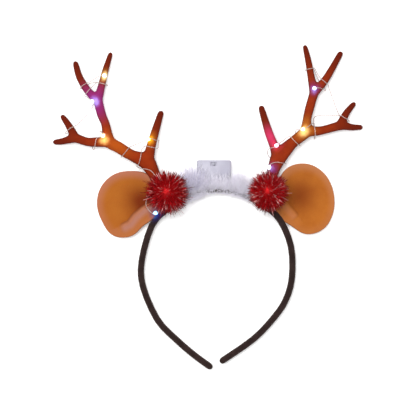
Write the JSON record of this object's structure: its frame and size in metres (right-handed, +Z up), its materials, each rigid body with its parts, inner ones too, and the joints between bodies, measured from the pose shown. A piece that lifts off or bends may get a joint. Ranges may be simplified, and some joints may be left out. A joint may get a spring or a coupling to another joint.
{
  "type": "reindeer antler headband",
  "caption": "Reindeer antler headband with felt ears, tinsel pompoms, a fluffy trim, a battery case and light wires wound round flocked antlers.",
  "frame": {"origin": "middle of the bounding box, on the surface that the headband lies on", "axes": "+Z up out of the headband's front as it lies on its back, +Y from the hoop's open end to its top, +X to the right as seen from the front"},
  "size_m": [0.2744, 0.287, 0.045],
  "materials": {
    "velour": "dark brown velour",
    "flock": "reddish-brown flock",
    "felt": "tan felt",
    "tinsel": "red metallised strands",
    "fur": "white fluff",
    "case": "frosted",
    "knob": "satin",
    "wire": "silver wire",
    "led_blue": "lit resin",
    "led_yellow": "lit resin",
    "led_amber": "lit resin",
    "led_white": "lit resin",
    "led_pink": "lit resin"
  },
  "bodies": {
    "headset": {"headband": "velour", "antler_left": "flock", "antler_right": "flock", "ear_left": "felt", "ear_right": "felt", "pompom_left": "tinsel", "pompom_right": "tinsel", "fur_trim": "fur", "battery_case": "case", "light_wire_left": "wire", "light_wire_right": "wire", "led_left_1": "led_blue", "led_left_2": "led_yellow", "led_left_3": "led_amber", "led_left_4": "led_white", "led_left_5": "led_amber", "led_right_1": "led_blue", "led_right_2": "led_pink", "led_right_3": "led_amber", "led_right_4": "led_white"},
    "switch": {"switch_knob": "knob"}
  },
  "joints": [
    {"name": "switch_slide", "type": "slide", "parent": "headset", "child": "switch", "axis": [1, 0, 0], "range_m": [-0.0013, 0.0013]}
  ]
}
